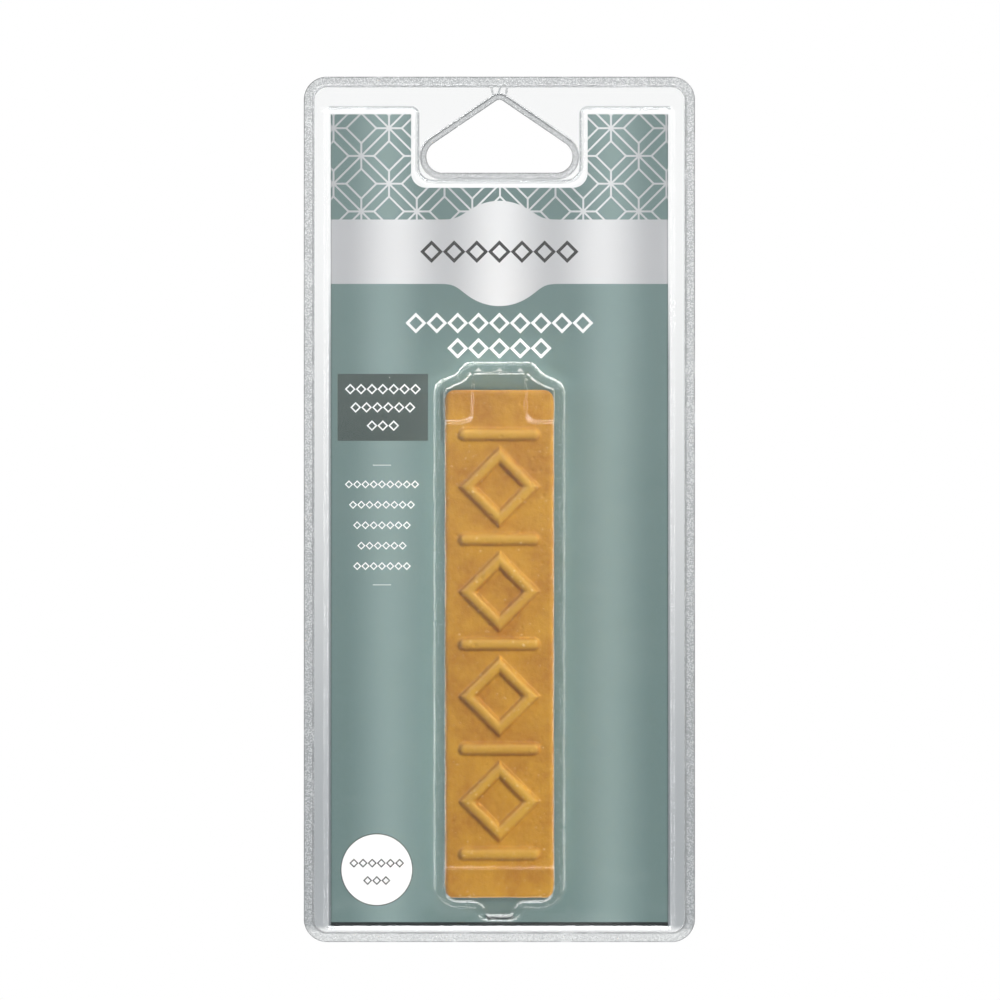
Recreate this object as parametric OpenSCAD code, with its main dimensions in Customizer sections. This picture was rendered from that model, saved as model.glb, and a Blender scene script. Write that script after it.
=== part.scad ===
// Furniture repair wax stick, sealed with a printed card in a clear hanging pack.
// The pack hangs upright: X runs across it, Z runs up it and its front faces -Y.
// The origin is the top of the hang hole, on the rear face of the pack.
// Outlines are drawn flat, X across and Y up, with heights towards the front, and upright() stands them up.

/* [Wax stick] */
// Width of the bar's front face
stick_width = 24.5; // [20:0.5:32]
// Length of the bar
stick_length = 116.4; // [90:0.1:140]
// Thickness of the bar without its raised pattern
stick_thickness = 17; // [12:0.5:22]
// Radius of the bar's corners, seen from the front
stick_corner = 3; // [1:0.1:4]
// Rounding of the bar's front edges
stick_edge = 0.8; // [0.7:0.1:1.5]
// Casting draft of the bar's sides and ends, in degrees
stick_draft = 1.2; // [0.2:0.1:2]
// Free travel of the bar along its bubble
stick_play = 0.5; // [0.3:0.1:1.5]
// Clearance between the bar and the sheet or card beside it
stick_gap = 0.3; // [0.2:0.05:0.6]

/* [Raised pattern] */
// Width of one half-round stroke
stroke_width = 2.9; // [1.6:0.1:3.2]
// Reach of the pattern across the bar
pattern_width = 18.6; // [14:0.1:20]
// Plain length of the bar at each end
pattern_margin = 9; // [9:0.5:14]
// Number of lozenges, with a cross bar between and beyond them
lozenges = 4; // [2:1:6]
// Gap between a lozenge and the next cross bar
pattern_gap = 1.2; // [0.8:0.1:2]

/* [Card] */
// Width of the folded card
card_width = 77.6; // [60:0.1:100]
// Height of the folded card
card_height = 186.8; // [175:0.1:215]
// Thickness of the board
card_thickness = 0.4; // [0.25:0.05:0.6]
// Space between the two leaves
fold_gap = 0.6; // [0.3:0.05:1.2]
// Clearance from the card's edges to the tray wall
card_gap = 0.6; // [0.3:0.05:1.2]
// Clearance from the card's faces to the sheets
face_gap = 0.2; // [0.15:0.05:0.4]
// Distance from the top of the hang hole down to the card
card_drop = 3.4; // [2.6:0.1:6]
// Corner radius of the card's notch
notch_corner = 3.4; // [2:0.1:5]

/* [Label] */
// Diameter of the round label
label_diameter = 16.7; // [10:0.1:20]
// Thickness of the label
label_thickness = 0.1; // [0.05:0.01:0.12]
// Height of the label's centre above the card's bottom edge
label_height = 13.1; // [11.5:0.1:40]
// Distance from the label's centre to the card's left edge
label_inset = 10.6; // [10.2:0.1:14]

/* [Clear sheets] */
// Thickness of each sheet
sheet = 0.4; // [0.3:0.05:0.45]
// Corner radius of the pack
pack_corner = 5.3; // [3.5:0.1:6]
// Width of the weld along the rim
weld_width = 2; // [1.2:0.1:2.6]
// Depth that the welding tool presses into the front sheet
weld_press = 0.12; // [0.05:0.01:0.2]
// Width of the bead squeezed out along the weld
bead_width = 0.5; // [0.3:0.05:0.8]
// Height of that bead
bead_height = 0.2; // [0.1:0.05:0.4]
// Flat flange between the tray and the weld at the sides
flange_side = 2.65; // [1.2:0.05:6]
// Flat flange between the tray and the weld at the bottom
flange_bottom = 0.8; // [0.8:0.05:4]
// Distance from the top of the hang hole up to the rim
rim_above_hole = 5.3; // [4.8:0.1:12]

/* [Hang hole] */
// Width of the hang hole
hole_width = 33.6; // [26:0.1:40]
// Height of the hang hole
hole_height = 16.8; // [13:0.1:22]
// Radius at the top of the hang hole
hole_top_radius = 1.4; // [1:0.1:3]
// Radius at both ends of the hang hole
hole_end_radius = 3.7; // [2.5:0.1:5]
// Width of the weld round the hang hole
hole_weld = 1.1; // [0.8:0.1:2]
// Flat left between that weld and the tray wall
hole_margin = 0.1; // [0.1:0.05:2]

/* [Tray] */
// Draft of the tray wall, in degrees
tray_draft = 25; // [10:1:35]
// Corner radius of the tray
tray_corner = 1.5; // [0.8:0.1:4]
// Fillet at the foot of the tray wall
tray_foot = 0.4; // [0.2:0.05:0.45]
// Rounding along the top edge of the tray wall
tray_edge = 0.6; // [0.55:0.05:0.9]

/* [Bubble] */
// Draft of the bubble wall, in degrees
bubble_draft = 6.5; // [4:0.1:9]
// Corner radius of the bubble
bubble_corner = 3.2; // [2.6:0.1:5]
// Fillet at the foot of the bubble wall
bubble_foot = 0.8; // [0.4:0.05:1]
// Rounding along the top edge of the bubble wall
bubble_edge = 1; // [0.7:0.05:1.1]
// Fall of the bubble's shoulders from the neck to the sides, in degrees
shoulder_fall = 24; // [5:1:35]
// Width of the neck at its end
neck_width = 15; // [13:0.1:18]
// Width of the neck at its root
neck_root = 19.4; // [19:0.1:24]
// Reach of the neck beyond its root
neck_reach = 2.5; // [2:0.1:8]
// Plan radius of the neck's corners
neck_corner = 1.2; // [0.8:0.1:2]
// Width of the end tab at its end
tab_width = 8.6; // [7.4:0.1:10]
// Width of the end tab at its root
tab_root = 11.2; // [10.4:0.1:20]
// Reach of the end tab below the bubble
tab_reach = 3.1; // [2.5:0.1:6]
// Plan radius of the end tab's corners
tab_corner = 3; // [0.8:0.1:3.5]
// Plan radius where the neck and the tab join the bubble
root_corner = 0.7; // [0.4:0.1:1]
// Flat left between the end tab and the tray edge
tab_margin = 0.3; // [0.2:0.1:3]
// Width of the raised channel between the corner pads
channel_width = 12.8; // [10:0.1:14]
// Length of the foot pad along the bar
foot_pad_length = 6.2; // [4:0.1:7.2]
// Plan radius of the pads' corners
pad_corner = 2; // [1:0.1:3]
// Draft of the step round each pad, in degrees
pad_draft = 20; // [10:1:25]
// Fillet at the foot of that step
pad_foot = 0.3; // [0.2:0.05:0.4]
// Rounding along the top of that step
pad_edge = 0.5; // [0.5:0.05:0.6]

/* [Hidden] */

// Segments in each corner of an outline, in each fillet of a wall, and round each circle
corner_steps = 6;
wall_steps = 4;
$fn = 32;
// Least radius left in a corner that an inset has used up
least_radius = 0.3;
// Length by which a cutting solid passes the solid that it cuts
overcut = 3;

// Heights from the rear face of the pack
weld_plane = sheet;
flange_top = weld_plane + sheet;
card_back = weld_plane + face_gap / 2;
leaf_front = card_back + card_thickness;
card_front = leaf_front + fold_gap + card_thickness;
tray_top = card_front + face_gap + sheet;
tray_rise = tray_top - flange_top;
stick_back = card_front + stick_gap;
stick_front = stick_back + stick_thickness;
stroke_radius = stroke_width / 2;
pad_top = stick_front + stick_gap + sheet;
bubble_top = pad_top + stroke_radius;
bubble_rise = bubble_top - tray_top;
pad_step = bubble_top - pad_top;

// Distance from the foot of a drafted wall in to its inner side, at a height above the foot
function wall_inside(height, draft) = height * tan(draft) + sheet / cos(draft);
// Distance from the foot of a drafted wall in to the flat above it
function wall_run(rise, draft, edge) = (edge + (rise - edge) * sin(draft)) / cos(draft);
// Distance that the foot fillet of a drafted wall reaches out from it
function foot_reach(draft, foot) = foot * tan((90 - draft) / 2);

// Tray round the card: the card stands on its fold, so the foot of the tray follows the fold's curve
fold_radius = card_thickness + fold_gap / 2;
fold_height = card_back + fold_radius;
card_half = card_width / 2;
card_top = -card_drop;
card_bottom = card_top - card_height;
tray_margin = wall_inside(card_front - flange_top, tray_draft) + card_gap;
tray_half = card_half + tray_margin;
tray_head = card_top + tray_margin;
fold_rest = (fold_radius + face_gap / 2) / cos(tray_draft) - fold_radius;
tray_foot_line = card_bottom - fold_rest - wall_inside(fold_height - flange_top, tray_draft);
tray_flat_foot = tray_foot_line + wall_run(tray_rise, tray_draft, tray_edge);

// Notch round the hang hole, in the tray and in the card
notch_land = hole_weld + bead_width + hole_margin + foot_reach(tray_draft, tray_foot);
notch_half = hole_width / 2 + notch_land;
notch_foot = -hole_height - notch_land;
card_notch_half = notch_half + tray_margin;
card_notch_foot = notch_foot - tray_margin;

// Outline of the pack
pack_half = tray_half + flange_side + weld_width;
pack_top = rim_above_hole;
pack_bottom = tray_foot_line - flange_bottom - weld_width;

// Bubble round the bar: the tab stands on the foot of the tray and the bar stands in the bubble
bar_wall = wall_inside(stick_front - tray_top, bubble_draft) + stick_gap;
bubble_half = stick_width / 2 + bar_wall;
tab_end = tray_flat_foot + foot_reach(bubble_draft, bubble_foot) + tab_margin;
bubble_foot_line = tab_end + tab_reach;
stick_bottom = bubble_foot_line + bar_wall;
stick_top = stick_bottom + stick_length;
stick_middle = (stick_top + stick_bottom) / 2;
stick_half = stick_width / 2;
// The shoulders clear the bar's rounded corners at the end of its travel
corner_touch = [stick_half - stick_corner, stick_top - stick_corner]
    + stick_corner * [sin(shoulder_fall), cos(shoulder_fall)];
shoulder_point = corner_touch + (bar_wall + stick_play) * [sin(shoulder_fall), cos(shoulder_fall)];
function shoulder_at(x) = shoulder_point[1] - (x - shoulder_point[0]) * tan(shoulder_fall);
neck_root_line = shoulder_at(neck_root / 2);
neck_end = neck_root_line + neck_reach;

// The corner pads stop short of the raised pattern at the end of the bar's travel
pad_length = pattern_margin - stick_play - stick_gap - wall_inside(pad_step, pad_draft);

// Raised pattern on the bar
pattern_length = stick_length - 2 * pattern_margin;
pattern_pitch = (pattern_length - stroke_width) / lozenges;
pattern_start = stick_bottom + pattern_margin + stroke_radius;
// Half diagonals of a lozenge along the middle of its strokes
lozenge_across = pattern_width / 2 - stroke_radius * sqrt(2);
lozenge_along = pattern_pitch / 2 - stroke_radius - pattern_gap - stroke_radius * sqrt(2);

// Outlines run anticlockwise, from the lower right corner
function mirrored(half) =
    concat(half, [for (i = [len(half) - 1 : -1 : 0]) [-half[i][0], half[i][1]]]);
function doubled(half) = concat(half, [for (i = [len(half) - 1 : -1 : 0]) half[i]]);
function box_outline(half, low, high) = mirrored([[half, low], [half, high]]);

function unit(v) = v / norm(v);
function left_of(v) = [-v[1], v[0]];
function turn_at(before, p, after) =
    let (a = unit(p - before), b = unit(after - p)) atan2(a[0] * b[1] - a[1] * b[0], a * b);
// Corner of an outline after the edges on both sides of it have moved in
function inset_corner(before, p, after, inset) =
    let (a = left_of(unit(p - before)), b = left_of(unit(after - p))) p + inset * (a + b) / (1 + a * b);
// Arc that rounds a corner
function corner_arc(before, p, after, radius) =
    let (
        along = unit(p - before),
        turn = turn_at(before, p, after),
        centre = p - along * radius * tan(abs(turn) / 2) + sign(turn) * radius * left_of(along),
        start = atan2(along[1], along[0]) - 90 * sign(turn)
    )
    [for (i = [0 : corner_steps])
        let (angle = start + turn * i / corner_steps) centre + radius * [cos(angle), sin(angle)]];
// Outline moved in by an inset, with rounded corners that tighten outside and open up inside
function filleted(points, radii, inset = 0) =
    let (
        n = len(points),
        moved = [for (i = [0 : n - 1])
            inset_corner(points[(i + n - 1) % n], points[i], points[(i + 1) % n], inset)]
    )
    [for (i = [0 : n - 1])
        let (before = moved[(i + n - 1) % n], after = moved[(i + 1) % n])
        each corner_arc(before, moved[i], after,
            max(least_radius, radii[i] - inset * sign(turn_at(before, moved[i], after))))];

// Section of a drafted wall with a fillet at its foot and a rounded edge above, as [inset, height]
// pairs, for the surface that lies a depth behind the sheet's outer face
function wall(rise, draft, foot, edge, depth) =
    let (foot_x = -foot_reach(draft, foot), edge_x = wall_run(rise, draft, edge), swing = 90 - draft)
    concat(
        [for (i = [0 : wall_steps])
            let (angle = 270 + swing * i / wall_steps)
            [foot_x, foot] + (foot + depth) * [cos(angle), sin(angle)]],
        [for (i = [0 : wall_steps])
            let (angle = 90 + swing * (1 - i / wall_steps))
            [edge_x, rise - edge] + (edge - depth) * [cos(angle), sin(angle)]]
    );
// Layers of a raised form, run on below its foot, and of a cut into one, run on above its edge
function raised(section) = concat([[section[0][0], section[0][1] - overcut]], section);
function sunk(section) =
    let (last = section[len(section) - 1])
    concat([for (p = section) [-p[0], p[1]]], [[-last[0], last[1] + overcut]]);

// Solid through an outline's layers, each an [inset, height] pair
module lofted(points, radii, layers) {
    rings = [for (layer = layers)
        [for (p = filleted(points, radii, layer[0])) [p[0], p[1], layer[1]]]];
    n = len(rings[0]);
    top = n * (len(rings) - 1);
    sides = [for (k = [0 : len(rings) - 2], j = [0 : n - 1])
        let (a = k * n + j, b = k * n + (j + 1) % n)
        each [[a, a + n, b + n], [a, b + n, b]]];
    caps = [[for (j = [0 : n - 1]) j], [for (j = [n - 1 : -1 : 0]) top + j]];
    polyhedron([for (ring = rings) each ring], concat(sides, caps));
}

module upright() {
    rotate([90, 0, 0]) children();
}

module pack_outline(inset = 0) {
    hull()
        for (x = [-1, 1], y = [pack_bottom + pack_corner, pack_top - pack_corner])
            translate([x * (pack_half - pack_corner), y])
                circle(pack_corner - inset);
}

module hang_outline(grow = 0) {
    hull() {
        translate([0, -hole_top_radius])
            circle(hole_top_radius + grow);
        for (x = [-1, 1])
            translate([x * (hole_width / 2 - hole_end_radius), hole_end_radius - hole_height])
                circle(hole_end_radius + grow);
    }
}

// Pressed bands of the weld, along the rim and round the hang hole
module weld_bands() {
    difference() {
        pack_outline(-overcut);
        pack_outline(weld_width);
    }
    hang_outline(hole_weld);
}

// Beads squeezed out along the inner side of those bands
module weld_beads() {
    difference() {
        pack_outline(weld_width);
        pack_outline(weld_width + bead_width);
    }
    difference() {
        hang_outline(hole_weld + bead_width);
        hang_outline(hole_weld);
    }
}

module flange() {
    difference() {
        translate([0, 0, weld_plane])
            linear_extrude(sheet)
                pack_outline();
        translate([0, 0, flange_top - weld_press])
            linear_extrude(overcut)
                weld_bands();
    }
    translate([0, 0, flange_top - weld_press])
        linear_extrude(weld_press + bead_height)
            weld_beads();
}

// Shallow tray over the card, with its notch round the hang hole
module tray(depth) {
    section = wall(tray_rise, tray_draft, tray_foot, tray_edge, depth);
    outline = mirrored([
        [tray_half, tray_foot_line],
        [tray_half, tray_head],
        [notch_half, tray_head],
        [notch_half, notch_foot]
    ]);
    corners = doubled([tray_corner, tray_corner, tray_corner, notch_corner]);
    translate([0, 0, flange_top])
        lofted(outline, corners, raised(section));
}

// Deep bubble over the bar, with hold-down pads on the bar's upper corners and across its foot
module bubble(depth) {
    section = wall(bubble_rise, bubble_draft, bubble_foot, bubble_edge, depth);
    outline = mirrored([
        [tab_width / 2, tab_end],
        [tab_root / 2, bubble_foot_line],
        [bubble_half, bubble_foot_line],
        [bubble_half, shoulder_at(bubble_half)],
        [neck_root / 2, neck_root_line],
        [neck_width / 2, neck_end]
    ]);
    corners = doubled([tab_corner, root_corner, bubble_corner, bubble_corner, root_corner, neck_corner]);
    difference() {
        translate([0, 0, tray_top])
            lofted(outline, corners, raised(section));
        translate([0, 0, pad_top])
            pads(depth);
    }
}

module pads(depth) {
    section = wall(pad_step, pad_draft, pad_foot, pad_edge, depth);
    corners = [pad_corner, pad_corner, pad_corner, pad_corner];
    pad_reach = bubble_half + overcut - channel_width / 2;
    for (x = [-1, 1])
        translate([x * (channel_width + pad_reach) / 2, 0])
            lofted(box_outline(pad_reach / 2, stick_top - pad_length, neck_end + overcut), corners, sunk(section));
    lofted(
        box_outline(bubble_half + overcut, tab_end - overcut, stick_bottom + foot_pad_length),
        corners, sunk(section)
    );
}

module front_blister() {
    color([0.86, 0.9, 0.92, 0.35])
        upright()
            difference() {
                union() {
                    flange();
                    tray(0);
                    bubble(0);
                }
                tray(sheet);
                bubble(sheet);
                linear_extrude(bubble_top)
                    hang_outline();
            }
}

module back_sheet() {
    color([0.86, 0.9, 0.92, 0.35])
        upright()
            linear_extrude(sheet)
                difference() {
                    pack_outline();
                    hang_outline();
                }
}

// One board folded along its bottom edge, seen from its side with the fold below
module folded_section() {
    inner_radius = fold_gap / 2;
    fold_centre = card_bottom + fold_radius;
    function fold_arc(radius, from, to) = [for (i = [0 : corner_steps])
        let (angle = from + (to - from) * i / corner_steps)
        [fold_height, fold_centre] + radius * [cos(angle), sin(angle)]];
    polygon(concat(
        [[card_back, card_top]],
        fold_arc(fold_radius, 180, 360),
        [[card_front, card_top], [card_front - card_thickness, card_top]],
        fold_arc(inner_radius, 360, 180),
        [[leaf_front, card_top]]
    ));
}

module printed_card() {
    color([0.47, 0.55, 0.54])
        upright()
            difference() {
                rotate([0, -90, 0])
                    linear_extrude(card_width, center = true)
                        folded_section();
                linear_extrude(card_front + overcut)
                    polygon(filleted(
                        box_outline(card_notch_half, card_notch_foot, card_top + 2 * notch_corner),
                        [notch_corner, notch_corner, notch_corner, notch_corner]
                    ));
            }
}

module shade_label() {
    color("white")
        upright()
            translate([label_inset - card_half, card_bottom + label_height, card_front])
                cylinder(h = label_thickness, d = label_diameter, $fn = 96);
}

// Bar with drafted sides and ends: three profiles drawn along its length, its width and its depth
module bar() {
    spread = stick_thickness * tan(stick_draft);
    back_half = stick_half + spread;
    end_half = stick_length / 2;
    edges = [least_radius, stick_edge, stick_edge, least_radius];
    // Section of the bar from its back up to its front face, between two half widths
    function section(back, front) = filleted(
        mirrored([[back, stick_back], [front, stick_front]]), edges);
    translate([0, stick_middle])
        intersection() {
            rotate([90, 0, 0])
                linear_extrude(stick_length + overcut, center = true)
                    polygon(section(back_half, stick_half));
            rotate([90, 0, 90])
                linear_extrude(2 * back_half + overcut, center = true)
                    polygon(section(end_half, end_half - spread));
            linear_extrude(stick_front + overcut)
                polygon(filleted(
                    box_outline(back_half, -end_half, end_half),
                    [stick_corner, stick_corner, stick_corner, stick_corner]
                ));
        }
}

// Half-round stroke across the bar with rounded ends
module cross_stroke() {
    straight = pattern_width / 2 - stroke_radius;
    quarter = [for (i = [0 : corner_steps])
        let (angle = 90 * i / corner_steps)
        [stroke_radius * cos(angle), straight + stroke_radius * sin(angle)]];
    rotate([0, 90, 0])
        rotate_extrude()
            polygon(concat(quarter, [for (i = [corner_steps : -1 : 0]) [quarter[i][0], -quarter[i][1]]]));
}

// Four half-round strokes, mitred where they meet
module lozenge() {
    slope = atan2(lozenge_along, lozenge_across);
    reach = pattern_width;
    for (x = [0, 1], y = [0, 1])
        mirror([x, 0, 0])
            mirror([0, y, 0])
                intersection() {
                    translate([lozenge_across, 0, 0])
                        rotate([0, 0, 90 - slope])
                            rotate([-90, 0, 0])
                                cylinder(h = 2 * reach, r = stroke_radius, center = true);
                    translate([0, 0, -reach / 2])
                        cube(reach);
                }
}

module wax_stick() {
    color([0.74, 0.55, 0.24])
        upright() {
            bar();
            for (i = [0 : lozenges])
                translate([0, pattern_start + i * pattern_pitch, stick_front])
                    cross_stroke();
            for (i = [0 : lozenges - 1])
                translate([0, pattern_start + (i + 0.5) * pattern_pitch, stick_front])
                    lozenge();
        }
}

front_blister();
back_sheet();
printed_card();
shade_label();
wax_stick();
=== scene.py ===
"""Looks of a furniture repair wax stick that is sealed with a printed card in a clear hanging pack.

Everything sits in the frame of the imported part: X across the pack, Z up it, the front towards -Y and the
origin at the top of the hang hole, on the rear face. Shapes are worked out in millimetres, and objects
are in metres.
"""

import itertools
import math

import bpy
import numpy as np
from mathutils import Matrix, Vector
from mathutils.geometry import delaunay_2d_cdt


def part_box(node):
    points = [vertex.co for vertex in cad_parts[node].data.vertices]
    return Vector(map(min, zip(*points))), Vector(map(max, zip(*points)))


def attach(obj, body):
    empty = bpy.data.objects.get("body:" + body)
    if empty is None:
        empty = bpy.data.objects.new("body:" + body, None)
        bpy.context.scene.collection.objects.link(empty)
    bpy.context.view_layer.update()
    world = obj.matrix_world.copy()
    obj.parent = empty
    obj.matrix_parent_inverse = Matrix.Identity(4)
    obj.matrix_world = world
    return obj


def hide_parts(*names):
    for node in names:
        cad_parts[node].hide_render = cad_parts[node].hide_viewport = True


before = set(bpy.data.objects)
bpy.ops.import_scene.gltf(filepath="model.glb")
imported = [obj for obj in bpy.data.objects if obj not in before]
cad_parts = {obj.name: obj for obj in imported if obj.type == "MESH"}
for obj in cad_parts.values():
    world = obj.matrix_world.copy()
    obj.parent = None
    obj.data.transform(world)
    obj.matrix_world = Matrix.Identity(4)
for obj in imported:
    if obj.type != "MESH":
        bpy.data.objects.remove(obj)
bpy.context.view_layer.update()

MM = 0.001


def box_mm(node):
    """Lowest and highest corner of a CAD node, in millimetres."""
    return [np.array(corner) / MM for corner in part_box(node)]


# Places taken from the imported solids. Heights run forward from the rear face of the pack.
blister_low, blister_high = box_mm("front_blister")
card_low, card_high = box_mm("printed_card")
label_low, label_high = box_mm("shade_label")
stick_low, stick_high = box_mm("wax_stick")
PACK_HALF, PACK_TOP, PACK_BOTTOM = blister_high[0], blister_high[2], blister_low[2]
CARD_HALF, CARD_TOP, CARD_BOTTOM, CARD_FRONT = card_high[0], card_high[2], card_low[2], -card_low[1]
STICK_TOP, STICK_BOTTOM = stick_high[2], stick_low[2]
BUBBLE_TOP = -blister_low[1]
LABEL_X, _, LABEL_Z = (label_low + label_high) / 2
LABEL_RADIUS = (label_high[0] - label_low[0]) / 2

# Sizes of the front sheet, in millimetres
SHEET = 0.4
FLANGE_TOP = 2 * SHEET
FACE_GAP = 0.2
CARD_GAP = 0.6
STICK_GAP = 0.3
STICK_HALF = 12.25
STROKE_RADIUS = 1.45
PACK_CORNER = 5.3
WELD_WIDTH = 2.0
WELD_PRESS = 0.12
BEAD_WIDTH = 0.5
BEAD_HEIGHT = 0.2
HOLE_HALF = 16.8
HOLE_HEIGHT = 16.8
HOLE_TOP_RADIUS = 1.4
HOLE_END_RADIUS = 3.7
HOLE_WELD = 1.1
HOLE_MARGIN = 0.1
TRAY_CORNER = 1.5
NOTCH_CORNER = 3.4
BUBBLE_CORNER, BUBBLE_LOW_CORNER = 3.2, 5.6
SHOULDER_FALL = math.radians(24)
NECK_HALF, NECK_ROOT_HALF, NECK_REACH, NECK_CORNER = 7.5, 9.7, 2.5, 1.2
TAB_HALF, TAB_ROOT_HALF, TAB_REACH, TAB_CORNER = 4.3, 5.6, 3.1, 3.0
TAB_MARGIN = 0.3
ROOT_CORNER = 0.7
LEAST_RADIUS = 0.3
CHANNEL_HALF = 6.4
PAD_LENGTH = 7.25
FOOT_PAD_LENGTH = 7.0
PAD_CORNER = 2.0
STICK_PLAY = 0.5
STICK_CORNER = 3.0
FOLD_RADIUS = 0.7
CREASE_FOOT, CREASE_HEAD = np.array([-0.45, 1.0]), np.array([0.45, 3.4])
CREASE_HEIGHT, CREASE_REACH = 0.05, 0.3
# Painted shade on the film: how far it spreads past the tray's upper foot, the height below which that stops,
# and the height it starts below and its reach beside the card
FOOT_SHADE_SPREAD = 0.2
FOOT_SHADE_END = -30.0
SHADE_START, SHADE_REACH = -40.0, 0.35

# Spacing of the mesh: along walls, over flats, along the weld and in corners
RUN_STEP = 3.0
FLAT_STEP = 3.0
WELD_STEP = 0.3
BEAD_STEP = 0.6
CREASE_STEP = 0.15
TURN_STEP = math.radians(9)
FILLET_STEPS = 6
FOOT_MARGIN, EDGE_MARGIN, WALL_RING = 0.2, 0.25, 0.55


class Wall:
    """A drafted wall of formed sheet, with a fillet at its foot and a rounded edge on top."""

    def __init__(self, draft, foot, edge):
        self.draft, self.foot, self.edge = math.radians(draft), foot, edge
        self.reach = foot * math.tan((math.pi / 2 - self.draft) / 2)

    def inside(self, height):
        """Distance from the foot line in to the wall's inner side, at a height."""
        return height * math.tan(self.draft) + SHEET / math.cos(self.draft)

    def run(self, rise):
        """Distance from the foot line in to the flat above the wall."""
        return (self.edge + (rise - self.edge) * math.sin(self.draft)) / math.cos(self.draft)

    def height(self, inset, rise):
        """Height of the outer face at a distance in from the foot line."""
        lean = math.cos(self.draft)
        from_foot = np.clip(inset + self.reach, 0, self.foot * lean)
        from_edge = np.clip(self.run(rise) - inset, 0, self.edge * lean)
        fillet = self.foot - np.sqrt(self.foot**2 - from_foot**2)
        edge = rise - self.edge + np.sqrt(self.edge**2 - from_edge**2)
        straight = inset / math.tan(self.draft)
        above = np.where(from_edge < self.edge * lean, edge, straight)
        return np.where(from_foot < self.foot * lean, fillet, above)

    def stops(self, rise):
        """Insets at which the mesh follows the wall's section."""
        swing = np.linspace(0, math.pi / 2 - self.draft, FILLET_STEPS + 1)
        at_foot = self.foot * np.sin(swing) - self.reach
        at_edge = self.run(rise) - self.edge * np.sin(swing)
        return np.concatenate([at_foot, at_edge])


TRAY, BUBBLE, PAD = Wall(25, 0.4, 0.6), Wall(6.5, 0.8, 1.0), Wall(20, 0.3, 0.5)


def unit(v):
    return v / np.hypot(*v)


def left_of(v):
    return np.array([-v[1], v[0]])


def mirrored(half):
    """A whole outline from its right half, anticlockwise from the lower right."""
    return [*half, *[(-x, z) for x, z in reversed(half)]]


class Outline:
    """A closed anticlockwise outline of straight runs and rounded corners."""

    def __init__(self, points, radii):
        self.points = [np.array(p, float) for p in points]
        self.radii = radii
        self.corners = [self._corner(i) for i in range(len(points))]

    def _corner(self, i):
        """Centre, radius, first angle and turn of one corner's arc."""
        before, p, after = (self.points[(i + k) % len(self.points)] for k in (-1, 0, 1))
        a, b = unit(p - before), unit(after - p)
        turn = math.atan2(a[0] * b[1] - a[1] * b[0], a @ b)
        side, radius = math.copysign(1, turn), self.radii[i]
        centre = p - a * radius * math.tan(abs(turn) / 2) + side * radius * left_of(a)
        return centre, radius, math.atan2(a[1], a[0]) - side * math.pi / 2, turn

    def _arc(self, i, parts):
        """Points along a corner's arc, with its two ends."""
        centre, radius, start, turn = self.corners[i]
        angles = start + turn * np.arange(parts + 1) / parts
        return centre + radius * np.stack([np.cos(angles), np.sin(angles)], axis=-1)

    def _run(self, i):
        """Start and end of the straight run after a corner."""
        return self._arc(i, 1)[1], self._arc((i + 1) % len(self.corners), 1)[0]

    def moved(self, inset):
        """The outline after its edges have moved in, with corners that tighten outside and open up inside."""
        points, radii = [], []
        for i, p in enumerate(self.points):
            before, after = self.points[i - 1], self.points[(i + 1) % len(self.points)]
            a, b = left_of(unit(p - before)), left_of(unit(after - p))
            points.append(p + inset * (a + b) / (1 + a @ b))
            radii.append(max(LEAST_RADIUS, self.radii[i] - inset * math.copysign(1, self.corners[i][3])))
        return Outline(points, radii)

    def ring(self, inset, step=RUN_STEP):
        """Points along the outline after it has moved in, with the same count for every inset."""
        moved = self.moved(inset)
        points = []
        for i, (_, radius, _, turn) in enumerate(self.corners):
            points += list(moved._arc(i, max(2, math.ceil(abs(turn) / min(TURN_STEP, step / radius)))))
            start, end = self._run(i)
            parts = max(1, math.ceil(np.hypot(*(end - start)) / step))
            start, end = moved._run(i)
            points += [start + (end - start) * k / parts for k in range(1, parts)]
        return np.array(points)

    def inset_at(self, x, z):
        """How far inside the outline points lie, negative outside it."""
        nearest = np.full(np.shape(x), np.inf)

        def keep(distance):
            np.copyto(nearest, distance, where=np.abs(distance) < np.abs(nearest))

        for i, (centre, radius, start, turn) in enumerate(self.corners):
            first, last = self._run(i)
            length = np.hypot(*(last - first))
            if length > 1e-6:
                along = (last - first) / length
                dx, dz = x - first[0], z - first[1]
                t = np.clip(dx * along[0] + dz * along[1], 0, length)
                away = np.hypot(dx - t * along[0], dz - t * along[1])
                keep(np.copysign(away, along[0] * dz - along[1] * dx))
            dx, dz = x - centre[0], z - centre[1]
            out = np.hypot(dx, dz)
            middle = start + turn / 2
            facing = dx * math.cos(middle) + dz * math.sin(middle) >= out * math.cos(turn / 2)
            keep(np.where(facing, math.copysign(1, turn) * (radius - out), np.inf))
        return nearest


def hang_outline():
    """The hang hole: three circles with straight sides drawn round them."""
    end_x, end_z = HOLE_HALF - HOLE_END_RADIUS, HOLE_END_RADIUS - HOLE_HEIGHT
    span = np.array([end_x, end_z + HOLE_TOP_RADIUS])
    lean = math.atan2(span[1], span[0]) + math.acos((HOLE_TOP_RADIUS - HOLE_END_RADIUS) / np.hypot(*span))
    level = HOLE_TOP_RADIUS * (1 - math.sin(lean))
    corner_x = (level + HOLE_HEIGHT * math.sin(lean)) / math.cos(lean)
    points = [(corner_x, -HOLE_HEIGHT), (0, level / math.sin(lean)), (-corner_x, -HOLE_HEIGHT)]
    return Outline(points, [HOLE_END_RADIUS, HOLE_TOP_RADIUS, HOLE_END_RADIUS])


def box_outline(left, right, low, high, radius):
    return Outline([(right, low), (right, high), (left, high), (left, low)], [radius] * 4)


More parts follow.
